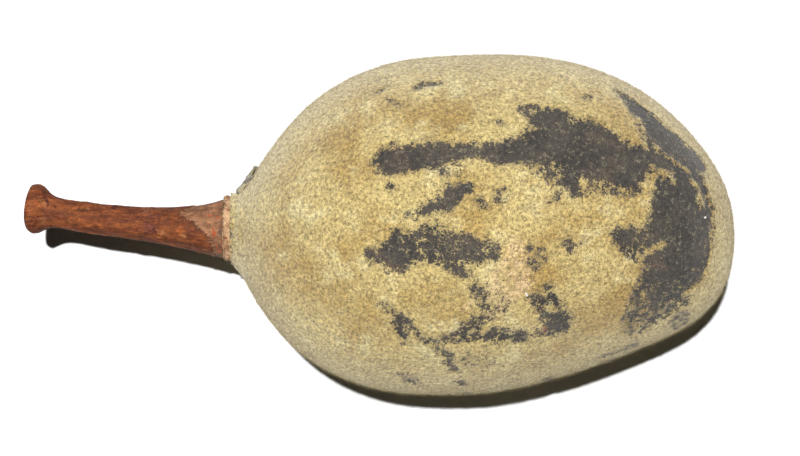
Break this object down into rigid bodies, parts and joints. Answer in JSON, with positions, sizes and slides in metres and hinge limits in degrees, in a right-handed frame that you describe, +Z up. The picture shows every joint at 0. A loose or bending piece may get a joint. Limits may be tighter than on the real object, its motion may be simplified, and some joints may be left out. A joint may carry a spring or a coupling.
{
  "type": "dried baobab pod rattle",
  "caption": "Whole dried baobab pod on its woody stalk, with a velvet-coated hollow shell, dry pulp and loose seeds that rattle when it is shaken.",
  "frame": {"origin": "centre of the bounding box in X and Y, at the lowest point of the pod as it lies at rest", "axes": "+X from the stalk to the tip, +Y across the pod, +Z up"},
  "size_m": [0.2562, 0.1224, 0.1138],
  "materials": {
    "velvet": "matte",
    "woody_shell": "matte",
    "stalk_wood": "matte",
    "bark": "matte",
    "swelling": "matte",
    "ring": "matte",
    "calyx_scrap": "matte",
    "dry_pulp": "matte",
    "seed": "satin",
    "fibre": "matte"
  },
  "bodies": {
    "pod": {"calyx_ring": "ring", "calyx_scrap": "calyx_scrap", "fibre_core": "fibre", "fibre_strand_1": "fibre", "fibre_strand_2": "fibre", "fibre_strand_3": "fibre", "fibre_strand_4": "fibre", "fibre_strand_5": "fibre", "fibre_strand_6": "fibre", "fibre_strand_7": "fibre", "fibre_strand_8": "fibre", "pulp_segment_1": "dry_pulp", "pulp_segment_2": "dry_pulp", "pulp_segment_3": "dry_pulp", "pulp_segment_4": "dry_pulp", "pulp_segment_5": "dry_pulp", "pulp_segment_6": "dry_pulp", "pulp_segment_7": "dry_pulp", "pulp_segment_8": "dry_pulp", "seeds_in_segment_1": "seed", "seeds_in_segment_2": "seed", "seeds_in_segment_3": "seed", "seeds_in_segment_4": "seed", "seeds_in_segment_5": "seed", "seeds_in_segment_6": "seed", "seeds_in_segment_7": "seed", "seeds_in_segment_8": "seed", "stalk_bark": "bark", "stalk_swelling": "swelling", "stalk_wood": "stalk_wood", "velvet_coat": "velvet", "woody_shell": "woody_shell"},
    "loose_seed_1": {"loose_seed_1": "seed"},
    "loose_seed_2": {"loose_seed_2": "seed"},
    "loose_seed_3": {"loose_seed_3": "seed"},
    "loose_seed_4": {"loose_seed_4": "seed"}
  },
  "joints": [
    {"name": "loose_seed_1_slide", "type": "slide", "parent": "pod", "child": "loose_seed_1", "axis": [-0.0279, 0, 0.9996], "range_m": [0, 0.0405]},
    {"name": "loose_seed_2_slide", "type": "slide", "parent": "pod", "child": "loose_seed_2", "axis": [-0.0279, 0, 0.9996], "range_m": [0, 0.0365]},
    {"name": "loose_seed_3_slide", "type": "slide", "parent": "pod", "child": "loose_seed_3", "axis": [-0.0279, 0, 0.9996], "range_m": [0, 0.054]},
    {"name": "loose_seed_4_slide", "type": "slide", "parent": "pod", "child": "loose_seed_4", "axis": [-0.0279, 0, 0.9996], "range_m": [0, 0.0325]}
  ]
}
